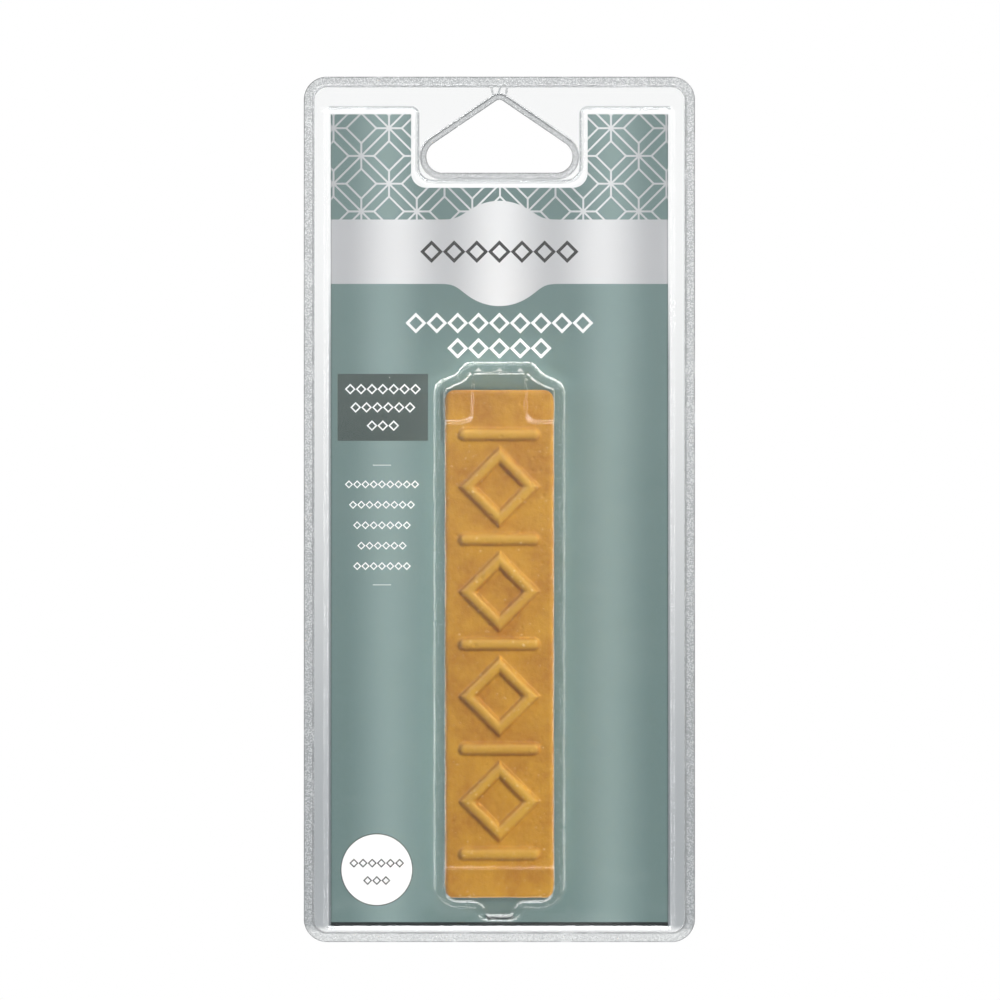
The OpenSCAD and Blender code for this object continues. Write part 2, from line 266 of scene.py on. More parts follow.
# Outlines of the front sheet, from what the sheet holds
TRAY_TOP = CARD_FRONT + FACE_GAP + SHEET
TRAY_RISE = TRAY_TOP - FLANGE_TOP
tray_margin = TRAY.inside(CARD_FRONT - FLANGE_TOP) + CARD_GAP
tray_half, tray_head = CARD_HALF + tray_margin, CARD_TOP + tray_margin
fold_rest = (FOLD_RADIUS + FACE_GAP / 2) / math.cos(TRAY.draft) - FOLD_RADIUS
tray_foot = CARD_BOTTOM - fold_rest - TRAY.inside((CARD_FRONT - FOLD_RADIUS) - FLANGE_TOP)
notch_land = HOLE_WELD + BEAD_WIDTH + HOLE_MARGIN + TRAY.reach
notch_half, notch_foot = HOLE_HALF + notch_land, -HOLE_HEIGHT - notch_land
PAD_TOP = BUBBLE_TOP - STROKE_RADIUS
bar_wall = BUBBLE.inside(PAD_TOP - SHEET - STICK_GAP - TRAY_TOP) + STICK_GAP
bubble_half = STICK_HALF + bar_wall
tab_end = tray_foot + TRAY.run(TRAY_RISE) + BUBBLE.reach + TAB_MARGIN
bubble_foot = tab_end + TAB_REACH
shoulder = np.array([math.sin(SHOULDER_FALL), math.cos(SHOULDER_FALL)])
shoulder_reach = STICK_CORNER + bar_wall + STICK_PLAY
shoulder_point = np.array([STICK_HALF, STICK_TOP]) - STICK_CORNER + shoulder_reach * shoulder


def shoulder_at(x):
    return shoulder_point[1] - (x - shoulder_point[0]) * math.tan(SHOULDER_FALL)


neck_root = shoulder_at(NECK_ROOT_HALF)
neck_end = neck_root + NECK_REACH
pack_outline = box_outline(-PACK_HALF, PACK_HALF, PACK_BOTTOM, PACK_TOP, PACK_CORNER)
hole_outline = hang_outline()
tray_radii = [TRAY_CORNER, TRAY_CORNER, TRAY_CORNER, NOTCH_CORNER]
tray_outline = Outline(
    mirrored(
        [
            (tray_half, tray_foot),
            (tray_half, tray_head),
            (notch_half, tray_head),
            (notch_half, notch_foot),
        ]
    ),
    tray_radii + tray_radii[::-1],
)
bubble_radii = [TAB_CORNER, ROOT_CORNER, BUBBLE_LOW_CORNER, BUBBLE_CORNER, ROOT_CORNER, NECK_CORNER]
bubble_outline = Outline(
    mirrored(
        [
            (TAB_HALF, tab_end),
            (TAB_ROOT_HALF, bubble_foot),
            (bubble_half, bubble_foot),
            (bubble_half, shoulder_at(bubble_half)),
            (NECK_ROOT_HALF, neck_root),
            (NECK_HALF, neck_end),
        ]
    ),
    bubble_radii + bubble_radii[::-1],
)
pad_outlines = [
    box_outline(CHANNEL_HALF, bubble_half, STICK_TOP - PAD_LENGTH, neck_end, PAD_CORNER),
    box_outline(-bubble_half, -CHANNEL_HALF, STICK_TOP - PAD_LENGTH, neck_end, PAD_CORNER),
    box_outline(-bubble_half, bubble_half, tab_end, STICK_BOTTOM + FOOT_PAD_LENGTH, PAD_CORNER),
]


def hashed(lattice):
    """A repeatable number from 0 to 1 for each lattice point."""
    mixed = lattice @ np.array([12.9898, 78.233, 37.719])[: lattice.shape[-1]]
    return np.modf(np.abs(np.sin(mixed)) * 43758.5453)[0]


def grain(points, pitch, seed=0):
    """Smooth repeatable noise from -1 to 1 over an array of points, about one swell per pitch."""
    scaled = points / pitch + 17.3 * seed
    base = np.floor(scaled)
    part = scaled - base
    part = part * part * (3 - 2 * part)
    total = np.zeros(len(points))
    for corner in itertools.product((0, 1), repeat=points.shape[-1]):
        total += np.prod(np.where(corner, part, 1 - part), axis=-1) * hashed(base + corner)
    return 2 * total - 1


def formed_height(x, z):
    """Height of the sheet's outer face as it comes off the forming tool."""
    top = np.full(np.shape(x), BUBBLE_TOP)
    for pad in pad_outlines:
        top = np.minimum(top, PAD_TOP + PAD.height(-pad.inset_at(x, z), BUBBLE_TOP - PAD_TOP))
    in_tray = tray_outline.inset_at(x, z)
    in_bubble = bubble_outline.inset_at(x, z)
    place = np.stack([x, z], axis=-1)
    wave = 0.04 * grain(place, 17) + 0.015 * grain(place, 6, 1)
    free = np.clip((in_tray - TRAY.run(TRAY_RISE)) / 4, 0, 1) * np.clip(-(in_bubble + BUBBLE.reach) / 4, 0, 1)
    tray, bubble = TRAY.height(in_tray, TRAY_RISE), BUBBLE.height(in_bubble, top - TRAY_TOP)
    return FLANGE_TOP + tray + bubble + wave * free


def weld_place(x, z):
    """How far points lie past the weld's inner line and in from the sheet's edge."""
    rim, hole = pack_outline.inset_at(x, z), -hole_outline.inset_at(x, z)
    return np.minimum(rim - WELD_WIDTH, hole - HOLE_WELD), np.minimum(rim, hole)


def painted_shade_share(x, z):
    """How much painted shade darkens the film: at the tray's upper foot, beside the card and at the crease.
    """
    side = np.abs(x)
    foot = 1 - np.abs(tray_outline.inset_at(x, z) + TRAY.reach / 2) / (TRAY.reach / 2 + FOOT_SHADE_SPREAD)
    foot = np.where((side < tray_half - 1) & (z > FOOT_SHADE_END), foot, 0)
    # A painted shadow beside the card's long edges, fading in from a height down
    beside_card = (SHADE_REACH - np.abs(side - CARD_HALF - SHADE_REACH / 2)) / (SHADE_REACH / 2)
    shade = np.clip(beside_card, 0, 1) * np.clip((SHADE_START - z) / 20, 0, 1) * (z > tray_foot)
    return np.clip(np.max([foot, 0.8 * shade, crease_height(x, z) / CREASE_HEIGHT], axis=0), 0, 1)


def crease_height(x, z):
    """A small pinch in the flange, from the top of the hang hole to the rim."""
    run = CREASE_HEAD - CREASE_FOOT
    dx, dz = x - CREASE_FOOT[0], z - CREASE_FOOT[1]
    along = np.clip((dx * run[0] + dz * run[1]) / (run @ run), 0, 1)
    away = np.hypot(dx - along * run[0], dz - along * run[1])
    return CREASE_HEIGHT * np.clip(1 - (away / CREASE_REACH) ** 2, 0, 1) ** 2


def welded_height(x, z):
    """Height of the outer face with the knurled press marks and the ragged bead beside them."""
    past, _ = weld_place(x, z)
    place = np.stack([x, z], axis=-1)
    knurl = 0.04 * grain(place, 0.5, 2) + 0.02 * grain(place, 1.7, 3)
    pressed = (knurl - WELD_PRESS) * np.clip(-past / 0.2, 0, 1)
    ragged = BEAD_HEIGHT * (0.75 + 0.35 * grain(place, 0.9, 4) + 0.3 * grain(place, 4, 5))
    across = np.clip(2 * past / BEAD_WIDTH - 1, -1, 1)
    bead = ragged * (1 + np.cos(math.pi * across)) / 2
    return formed_height(x, z) + pressed + bead + crease_height(x, z)


def slope(height, x, z, reach=0.004):
    """Unit normals of a height, towards the front."""
    dx = (height(x + reach, z) - height(x - reach, z)) / (2 * reach)
    dz = (height(x, z + reach) - height(x, z - reach)) / (2 * reach)
    normals = np.stack([-dx, -np.ones_like(dx), -dz], axis=-1)
    return normals / np.linalg.norm(normals, axis=-1, keepdims=True)


def blister_plan():
    """Points and triangles of the front sheet, seen flat from the front."""
    bubble_rises = (BUBBLE_TOP - TRAY_TOP, PAD_TOP - TRAY_TOP)
    loops = [tray_outline.ring(-TRAY.reach - FOOT_SHADE_SPREAD)]
    loops += [tray_outline.ring(tray_margin + s * SHADE_REACH) for s in (-0.5, 0, 0.5)]
    loops += [tray_outline.ring(s) for s in TRAY.stops(TRAY_RISE)]
    loops += [bubble_outline.ring(s) for s in (-BUBBLE.reach - FOOT_MARGIN, WALL_RING)]
    loops += [bubble_outline.ring(s) for s in np.unique(np.round([BUBBLE.stops(r) for r in bubble_rises], 4))]
    pad_rise = BUBBLE_TOP - PAD_TOP
    pad_stops = [-PAD.reach - FOOT_MARGIN, *PAD.stops(pad_rise), PAD.run(pad_rise) + EDGE_MARGIN]
    loops += [pad.ring(-s) for pad in pad_outlines for s in pad_stops]
    loops += [pack_outline.ring(s, WELD_STEP) for s in np.arange(0, WELD_WIDTH, WELD_STEP)]
    loops += [hole_outline.ring(-s, WELD_STEP) for s in np.arange(0, HOLE_WELD, WELD_STEP)]
    for past in np.linspace(0, BEAD_WIDTH, 5):
        loops.append(pack_outline.ring(WELD_WIDTH + past, BEAD_STEP))
        loops.append(hole_outline.ring(-HOLE_WELD - past, BEAD_STEP))
    points, edges = [], []
    for loop in loops:
        first = len(points)
        points += [Vector(p) for p in loop]
        edges += [(first + k, first + (k + 1) % len(loop)) for k in range(len(loop))]
    across, up = np.arange(-PACK_HALF, PACK_HALF, FLAT_STEP), np.arange(PACK_BOTTOM, PACK_TOP, FLAT_STEP)
    gx, gz = (g.ravel() for g in np.meshgrid(across, up))
    rims = [tray_outline.inset_at(gx, gz), bubble_outline.inset_at(gx, gz)]
    room = np.min([np.abs(rim - 1) for rim in rims], axis=0) > 4
    points += [Vector(p) for p in zip(gx[room], gz[room])]
    low, high = CREASE_FOOT - CREASE_REACH, CREASE_HEAD + CREASE_REACH
    crease = itertools.product(*[np.arange(a, b, CREASE_STEP) for a, b in zip(low, high)])
    points += [Vector(p) for p in crease]
    found = delaunay_2d_cdt(points, edges, [], 0, 1e-4)
    plan, triangles = np.array([tuple(p) for p in found[0]]), np.array(found[2])
    mx, mz = plan[triangles].mean(axis=1).T
    inside = (pack_outline.inset_at(mx, mz) > 0) & (hole_outline.inset_at(mx, mz) < 0)
    return plan, triangles[inside]


def mesh_object(name, points, faces, body):
    """A new piece from points in millimetres, on a body."""
    mesh = bpy.data.meshes.new(name)
    mesh.from_pydata((np.asarray(points) * MM).tolist(), [], [list(map(int, f)) for f in faces])
    piece = bpy.data.objects.new(name, mesh)
    bpy.context.scene.collection.objects.link(piece)
    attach(piece, body)
    return piece


def clear_front():
    """The front sheet: both faces of the formed film, joined along the rim and round the hang hole."""
    film = SHEET - 0.03
    plan, triangles = blister_plan()
    used = np.unique(triangles)
    triangles = np.searchsorted(used, triangles)
    x, z = plan[used].T
    front_normals, form_normals = slope(welded_height, x, z), slope(formed_height, x, z)
    front = np.stack([x, -welded_height(x, z), z], axis=-1)
    back = np.stack([x, -formed_height(x, z), z], axis=-1) - film * form_normals
    count = len(x)
    edges = np.concatenate([triangles[:, [0, 1]], triangles[:, [1, 2]], triangles[:, [2, 0]]])
    known = set(map(tuple, edges))
    rim = [(a, b) for a, b in edges if (b, a) not in known]
    faces = [*triangles, *(triangles[:, ::-1] + count), *[(b, a, a + count, b + count) for a, b in rim]]
    piece = mesh_object("clear_front_sheet", np.concatenate([front, back]), faces, "pack")
    mesh = piece.data
    past, edge = weld_place(x, z)
    # past_weld and from_edge place the weld; the third share is the film's painted shade
    shares = {"past_weld": past, "from_edge": edge, "painted_shade": painted_shade_share(x, z)}
    for name, values in shares.items():
        mesh.attributes.new(name, "FLOAT", "POINT").data.foreach_set("value", np.tile(values, 2))
    rough = np.zeros(len(mesh.polygons), np.int32)
    rough[: len(triangles)] = past[triangles].mean(axis=1) < BEAD_WIDTH
    rough[2 * len(triangles) :] = 1
    mesh.polygons.foreach_set("material_index", rough)
    mesh.shade_smooth()
    normals = np.concatenate([front_normals, -form_normals])
    corners = [normals[v] for f in faces[: 2 * len(triangles)] for v in f]
    for polygon in mesh.polygons[2 * len(triangles) :]:
        corners += [polygon.normal] * 4
    mesh.normals_split_custom_set([tuple(n) for n in corners])
    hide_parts("front_blister")
    return piece


def cast_bar():
    """The wax bar: the CAD form with softened edges, an uneven skin, casting pits and crumbs."""
    voxel, soft_passes, spots = 0.26, 1, 140
    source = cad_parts["wax_stick"]
    work = bpy.data.objects.new("bar_work", source.data.copy())
    bpy.context.scene.collection.objects.link(work)
    work.modifiers.new("joined", "WELD").merge_threshold = 1e-6
    remesh = work.modifiers.new("even", "REMESH")
    remesh.mode, remesh.voxel_size = "VOXEL", voxel * MM
    smooth = work.modifiers.new("soft", "SMOOTH")
    smooth.factor, smooth.iterations = 0.5, soft_passes
    mesh = bpy.data.meshes.new_from_object(work.evaluated_get(bpy.context.evaluated_depsgraph_get()))
    bpy.data.objects.remove(work)
    count = len(mesh.vertices)
    place, normal = np.zeros(count * 3), np.zeros(count * 3)
    mesh.vertices.foreach_get("co", place)
    mesh.vertices.foreach_get("normal", normal)
    place, normal = place.reshape(-1, 3) / MM, normal.reshape(-1, 3)
    skin = 0.06 * grain(place, 9, 6) + 0.03 * grain(place, 2.6, 7) + 0.015 * grain(place, 0.9, 8) - 0.08
    rng = np.random.default_rng(12)
    front = np.flatnonzero(normal[:, 1] < -0.3)
    for spot in rng.choice(front, spots):
        radius, depth = rng.uniform(0.35, 0.8), rng.uniform(-0.25, 0.12)
        away = np.linalg.norm(place - place[spot], axis=1) / radius
        skin += depth * np.clip(1 - away**2, 0, 1) ** 2
    mesh.vertices.foreach_set("co", ((place + normal * skin[:, None]) * MM).ravel())
    mesh.shade_smooth()
    mesh.update()
    mesh.materials.clear()
    piece = bpy.data.objects.new("cast_wax_bar", mesh)
    bpy.context.scene.collection.objects.link(piece)
    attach(piece, "stick")
    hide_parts("wax_stick")
    return piece


def srgb(red, green, blue):
    """A colour as the photo shows it, 0 to 255, for a shader."""
    shares = [c / 255 for c in (red, green, blue)]
    linear = [c / 12.92 if c <= 0.04045 else ((c + 0.055) / 1.055) ** 2.4 for c in shares]
    return (*linear, 1.0)


class Look:
    """A material in the making, with short calls that add and link its nodes."""

    def __init__(self, name):
        self.material = bpy.data.materials.new(name)
        self.material.use_nodes = True
        self.tree = self.material.node_tree
        self.tree.nodes.clear()

    def put(self, socket, value):
        if isinstance(value, bpy.types.NodeSocket):
            self.tree.links.new(value, socket)
        else:
            socket.default_value = value

    def node(self, kind, inputs=(), **settings):
        node = self.tree.nodes.new("ShaderNode" + kind)
        for name, value in settings.items():
            setattr(node, name, value)
        for name, value in dict(inputs).items():
            self.put(node.inputs[name], value)
        return node

    def math(self, operation, *values):
        return self.node("Math", enumerate(values), operation=operation).outputs[0]

    def all_of(self, *shares):
        """The product of several shares."""
        total = shares[0]
        for share in shares[1:]:
            total = self.math("MULTIPLY", total, share)
        return total

    def below(self, value, limit):
        return self.math("LESS_THAN", value, limit)

    def blend(self, share, first, second):
        """A colour that goes from the first to the second as the share goes from 0 to 1."""
        node = self.node("Mix", data_type="RGBA")
        for socket, value in zip((node.inputs[0], node.inputs[6], node.inputs[7]), (share, first, second)):
            self.put(socket, value)
        return node.outputs[2]

    def millimetres(self):
        """Where a point lies on its piece, in millimetres."""
        scaled = self.node("VectorMath", operation="SCALE")
        self.put(scaled.inputs[0], self.node("TexCoord").outputs["Object"])
        self.put(scaled.inputs["Scale"], 1 / MM)
        split = self.node("SeparateXYZ", {0: scaled.outputs[0]})
        return scaled.outputs[0], split.outputs

    def noise(self, place, pitch, detail=3.0):
        """Noise from 0 to 1, with swells about a pitch apart."""
        inputs = {"Vector": place, "Scale": 1 / pitch, "Detail": detail, "Roughness": 0.6}
        return self.node("TexNoise", inputs).outputs["Fac"]

    def ramp(self, value, low, high):
        """A share that goes from 0 to 1 as a value goes from low to high."""
        return self.node("MapRange", {0: value, 1: low, 2: high}, interpolation_type="SMOOTHSTEP").outputs[0]

    def bump(self, height, strength, distance):
        inputs = {"Height": height, "Strength": strength, "Distance": distance}
        return self.node("Bump", inputs).outputs[0]

    def finish(self, shader):
        output = self.node("OutputMaterial")
        self.put(output.inputs["Surface"], shader)
        return self.material


# Share that a face of the film mirrors when seen square on
SQUARE_MIRROR = 0.028


def mirror_share(look):
    """Share of light that a smooth face of clear plastic mirrors, alike from both sides."""
    facing = look.node("LayerWeight", {"Blend": 0.5}).outputs["Facing"]
    grazing = look.math("POWER", facing, 5.0)
    return look.math("MULTIPLY_ADD", grazing, 1 - SQUARE_MIRROR, SQUARE_MIRROR)


def film_look():
    """Clear glossy film with faint scuffs, forming ripples, and painted shade at the tray's upper foot,
    beside the card and at the crease.
    """
    look = Look("clear_film")
    place, _ = look.millimetres()
    ripple = look.bump(look.noise(place, 9.0, 1.0), 0.08, 0.0002)
    scuff = look.ramp(look.noise(place, 0.6, 6.0), 0.6, 0.8)
    gloss = look.node("BsdfGlossy", {"Color": (1, 1, 1, 1), "Normal": ripple})
    look.put(gloss.inputs["Roughness"], look.math("MULTIPLY_ADD", scuff, 0.06, 0.05))
    # Painted shade: the film is tinted darker at the tray's upper foot, beside the card and along the crease
    painted_shade = look.node("Attribute", attribute_name="painted_shade").outputs["Fac"]
    tint = look.blend(painted_shade, (0.994, 0.996, 0.996, 1), (0.66, 0.68, 0.69, 1))
    through = look.node("BsdfTransparent", {"Color": tint})
    mix = look.node("MixShader", {0: mirror_share(look)})
    look.put(mix.inputs[1], through.outputs[0])
    look.put(mix.inputs[2], gloss.outputs[0])
    return look.finish(mix.outputs[0])


def weld_look():
    """Pressed and squeezed film along the weld: grey and speckled, with a line of painted shade along both
    its edges.
    """
    look = Look("knurled_weld")
    place, (x, _, z) = look.millimetres()
    past = look.node("Attribute", attribute_name="past_weld").outputs["Fac"]
    edge = look.node("Attribute", attribute_name="from_edge").outputs["Fac"]
    fleck = look.ramp(look.noise(place, 0.3, 4.0), 0.46, 0.6)
    swell = look.noise(place, 6.0, 2.0)
    # Painted shade: a dark line along the weld's inner and outer edges
    inner_line = look.ramp(look.math("ABSOLUTE", look.math("SUBTRACT", past, 0.1)), 0.3, 0.05)
    outer_line = look.ramp(edge, 0.3, 0.1)
    line = look.math("MULTIPLY", look.math("MAXIMUM", inner_line, outer_line), look.ramp(swell, 0.2, 0.5))
    # Painted light: towards the bottom edge the weld lets more of the white behind it through
    low = look.ramp(z, PACK_BOTTOM + 5, PACK_BOTTOM + 2)
    body = look.node("BsdfPrincipled", {"Roughness": 0.3, "IOR": 1.45})
    colour = look.blend(fleck, srgb(150, 153, 155), srgb(222, 225, 226))
    by_hole = in_box(look, x, z, 0.0, -HOLE_HEIGHT / 2, HOLE_HALF + 2, HOLE_HEIGHT / 2 + 2)
    colour = look.blend(look.math("MULTIPLY", by_hole, 0.4), colour, srgb(132, 135, 137))
    colour = look.blend(line, colour, srgb(112, 115, 117))
    look.put(body.inputs["Base Color"], colour)
    look.put(body.inputs["Normal"], look.bump(fleck, 0.3, 0.00006))
    mix = look.node("MixShader")
    share = look.math("MULTIPLY_ADD", fleck, -0.1, look.math("MULTIPLY_ADD", low, -0.15, 0.6))
    look.put(mix.inputs[0], look.math("MULTIPLY_ADD", line, 0.3, share))
    look.put(mix.inputs[1], look.node("BsdfTransparent", {"Color": (0.93, 0.94, 0.94, 1)}).outputs[0])
    look.put(mix.inputs[2], body.outputs[0])
    return look.finish(mix.outputs[0])


def wax_look():
    """Cast ochre wax: satin, mottled and a little translucent, with stroke crowns lighter partly from rubbing
    and partly as painted light.
    """
    look = Look("ochre_wax")
    place, (_, y, z) = look.millimetres()
    face = stick_low[1] + STROKE_RADIUS
    # The stroke crowns are lighter: partly rubbed wax, partly painted light on their tops
    raised = look.ramp(y, face - 0.4, face - STROKE_RADIUS)
    cloud = look.ramp(look.noise(place, 9.0, 5.0), 0.3, 0.7)
    fine = look.ramp(look.noise(place, 1.6, 4.0), 0.3, 0.72)
    colour = look.blend(cloud, srgb(170, 111, 20), srgb(197, 143, 34))
    colour = look.blend(look.math("MULTIPLY", fine, 0.35), colour, srgb(205, 154, 46))
    colour = look.blend(look.math("MULTIPLY", raised, 0.65), colour, srgb(210, 164, 60))
    pit = look.ramp(look.noise(place, 0.55, 2.0), 0.7, 0.76)
    colour = look.blend(look.math("MULTIPLY", pit, 0.6), colour, srgb(140, 90, 24))
    low_end = look.math("MULTIPLY", look.ramp(z, STICK_BOTTOM + 3, STICK_BOTTOM), 0.06)
    crumb = look.ramp(look.math("SUBTRACT", look.noise(place, 0.8, 1.0), low_end), 0.3, 0.25)
    colour = look.blend(look.math("MULTIPLY", crumb, 0.7), colour, srgb(232, 198, 130))
    inputs = {"Base Color": colour, "Specular IOR Level": 0.1, "Subsurface Weight": 0.06}
    body = look.node("BsdfPrincipled", inputs)
    body.inputs["Subsurface Radius"].default_value = (1.0, 0.5, 0.2)
    body.inputs["Subsurface Scale"].default_value = 0.0008
    look.put(body.inputs["Roughness"], look.math("MULTIPLY_ADD", fine, 0.14, 0.5))
    relief = look.math("ADD", look.math("MULTIPLY", crumb, 1.5), look.math("SUBTRACT", fine, pit))
    look.put(body.inputs["Normal"], look.bump(relief, 0.5, 0.00012))
    return look.finish(body.outputs[0])


# Print on the card, in millimetres
LATTICE_PITCH = 12.76
LATTICE_X, LATTICE_Z = 0.14, -6.6
LATTICE_LINE = 0.22
DIAMOND = 0.27
BAND_TOP, BAND_BOTTOM = -27.6, -42.4
MEDAL_Z, MEDAL_RADIUS, MEDAL_BLEND = -35.4, 12.1, 3.6
SILVER_PERIOD = 23.9
SHEEN_X, SHEEN_REACH = 25.8, 10.0
PANEL_X, PANEL_Z, PANEL_HALF_WIDTH, PANEL_HALF_HEIGHT = -26.8, -70.8, 10.4, 7.7

# Rows of linked lozenges where a printed pack has words: middle of the row, count and size of a lozenge
MEDAL_ROWS = ((0, -35, 7, 5.2),)
TITLE_ROWS = ((0, -51.4, 9, 4.8), (0, -57.2, 5, 4.8))
PANEL_ROWS = ((-26.8, -66.6, 7, 2.5), (-26.8, -70.8, 6, 2.5), (-26.8, -75, 3, 2.5))
NOTE_X, NOTE_TOP, NOTE_PITCH, NOTE_SIZE = -27, -88.5, 4.7, 1.9
NOTE_COUNTS = (9, 8, 7, 6, 7)
NOTE_ROWS = tuple((NOTE_X, NOTE_TOP - k * NOTE_PITCH, n, NOTE_SIZE) for k, n in enumerate(NOTE_COUNTS))
LABEL_ROWS = ((LABEL_X, LABEL_Z + 1.5, 6, 2.1), (LABEL_X, LABEL_Z - 2.5, 3, 2.1))
ROW_LINE = 0.19
RULE_X, RULE_HALF, RULE_LINE, RULE_PLACES = -27.0, 2.1, 0.13, (-84.1, -111.6)


def lattice_lines(look, x, z):
    """Share of a lattice of stars and lozenges: lines folded into one eighth of a square cell."""

    def folded(value):
        cell = look.math("FRACT", look.math("DIVIDE", value, LATTICE_PITCH))
        return look.math("SUBTRACT", 0.5, look.math("ABSOLUTE", look.math("SUBTRACT", cell, 0.5)))

    fx, fz = folded(look.math("SUBTRACT", x, LATTICE_X)), folded(look.math("SUBTRACT", z, LATTICE_Z))
    u, v = look.math("MAXIMUM", fx, fz), look.math("MINIMUM", fx, fz)
    diagonal = look.math("MULTIPLY", look.math("SUBTRACT", u, v), math.sqrt(0.5))
    to_corner = look.math("ADD", look.math("SUBTRACT", 0.5, u), v)
    from_diamond = look.math("ABSOLUTE", look.math("SUBTRACT", to_corner, DIAMOND))
    lozenge = look.math("MULTIPLY", from_diamond, math.sqrt(0.5))
    flat_spoke = look.math("ADD", v, look.math("GREATER_THAN", u, 0.5 - DIAMOND))
    tall_spoke = look.math("ADD", look.math("SUBTRACT", 0.5, u), look.below(v, DIAMOND))
    nearest = diagonal
    for line in (lozenge, flat_spoke, tall_spoke):
        nearest = look.math("MINIMUM", nearest, line)
    return look.below(nearest, LATTICE_LINE / LATTICE_PITCH)


def lozenge_rows(look, x, z, rows):
    """Share of short rows of linked lozenges."""
    total = 0.0
    for middle_x, middle_z, count, size in rows:
        turns = look.math("DIVIDE", look.math("SUBTRACT", x, middle_x), size)
        part = look.math("FRACT", look.math("ADD", turns, count / 2))
        across = look.math("ABSOLUTE", look.math("MULTIPLY_ADD", part, 2.0, -1.0))
        up = look.math("DIVIDE", look.math("ABSOLUTE", look.math("SUBTRACT", z, middle_z)), size / 2)
        away = look.math("ABSOLUTE", look.math("SUBTRACT", look.math("ADD", across, up), 1 - ROW_LINE))
        within = look.below(look.math("ABSOLUTE", turns), count / 2)
        total = look.math("MULTIPLY_ADD", look.below(away, ROW_LINE), within, total)
    return total


def in_box(look, x, z, middle_x, middle_z, half_width, half_height):
    """1 inside a box of the print and 0 outside it."""
    across = look.math("SUBTRACT", look.math("ABSOLUTE", look.math("SUBTRACT", x, middle_x)), half_width)
    up = look.math("SUBTRACT", look.math("ABSOLUTE", look.math("SUBTRACT", z, middle_z)), half_height)
    return look.below(look.math("MAXIMUM", across, up), 0.0)


def in_medal_band(look, x, z):
    """1 inside the silver band and the medallion that grows out of it."""
    middle, half = (BAND_TOP + BAND_BOTTOM) / 2, (BAND_TOP - BAND_BOTTOM) / 2
    band = look.math("SUBTRACT", look.math("ABSOLUTE", look.math("SUBTRACT", z, middle)), half)
    up = look.math("SUBTRACT", z, MEDAL_Z)
    out = look.math("SQRT", look.math("ADD", look.math("MULTIPLY", x, x), look.math("MULTIPLY", up, up)))
    medal = look.math("SUBTRACT", out, MEDAL_RADIUS)
    return look.below(look.math("SMOOTH_MIN", band, medal, MEDAL_BLEND), 0.0)


def card_look():
    """Coated board, printed grey-green and silver on its front and plain elsewhere, with painted shade along
    its side edges and towards its bottom edge.
    """
    look = Look("printed_board")
    place, (x, y, z) = look.millimetres()
    side = look.math("ABSOLUTE", x)
    from_sheen = look.math("ABSOLUTE", look.math("SUBTRACT", side, SHEEN_X))
    sheen = look.ramp(from_sheen, SHEEN_REACH, 0.0)
    mottle = look.math("MULTIPLY", look.noise(place, 0.5, 3.0), 0.06)
    green = look.blend(sheen, srgb(102, 127, 125), srgb(133, 156, 154))
    wave = look.math("COSINE", look.math("MULTIPLY", x, 2 * math.pi / SILVER_PERIOD))
    fading = look.math("MULTIPLY", side, 0.006)
    shine = look.math("SUBTRACT", look.math("MULTIPLY_ADD", wave, 0.4, 0.6), fading)
    silver = look.blend(shine, srgb(185, 186, 189), srgb(238, 238, 239))
    lattice = look.all_of(lattice_lines(look, x, z), look.math("GREATER_THAN", z, BAND_TOP))
    colour = look.blend(lattice, green, silver)
    colour = look.blend(in_medal_band(look, x, z), colour, silver)
    panel = in_box(look, x, z, PANEL_X, PANEL_Z, PANEL_HALF_WIDTH, PANEL_HALF_HEIGHT)
    colour = look.blend(panel, colour, srgb(60, 75, 72))
    colour = look.blend(lozenge_rows(look, x, z, MEDAL_ROWS), colour, srgb(28, 28, 28))
    white_rows = lozenge_rows(look, x, z, TITLE_ROWS + PANEL_ROWS + NOTE_ROWS)
    colour = look.blend(white_rows, colour, srgb(252, 253, 253))
    for rule in RULE_PLACES:
        line = in_box(look, x, z, RULE_X, rule, RULE_HALF, RULE_LINE)
        colour = look.blend(line, colour, srgb(205, 215, 213))
    # Painted shade: the card darkens towards its bottom edge, where the board curves round
    fold_shade = look.ramp(z, CARD_BOTTOM + FOLD_RADIUS + 0.45, CARD_BOTTOM + FOLD_RADIUS + 0.25)
    # Painted shade along the card's long side edges
    edge = look.ramp(side, CARD_HALF - 0.4, CARD_HALF - 0.2)
    colour = look.blend(mottle, colour, srgb(236, 240, 238))
    colour = look.blend(look.math("MULTIPLY", edge, 0.3), colour, srgb(60, 70, 68))
    colour = look.blend(fold_shade, colour, srgb(24, 30, 30))
    on_front, on_fold = look.below(y, -(CARD_FRONT - 0.05)), look.below(z, CARD_BOTTOM + FOLD_RADIUS)
    printed = look.math("MAXIMUM", on_front, on_fold)
    board = look.blend(look.noise(place, 0.4, 4.0), srgb(200, 203, 199), srgb(222, 224, 220))
    colour = look.blend(printed, board, colour)
    body = look.node("BsdfPrincipled", {"Base Color": colour, "Roughness": 0.5, "Specular IOR Level": 0.1})
    look.put(body.inputs["Normal"], look.bump(look.noise(place, 0.25, 3.0), 0.12, 0.00005))
    return look.finish(body.outputs[0])


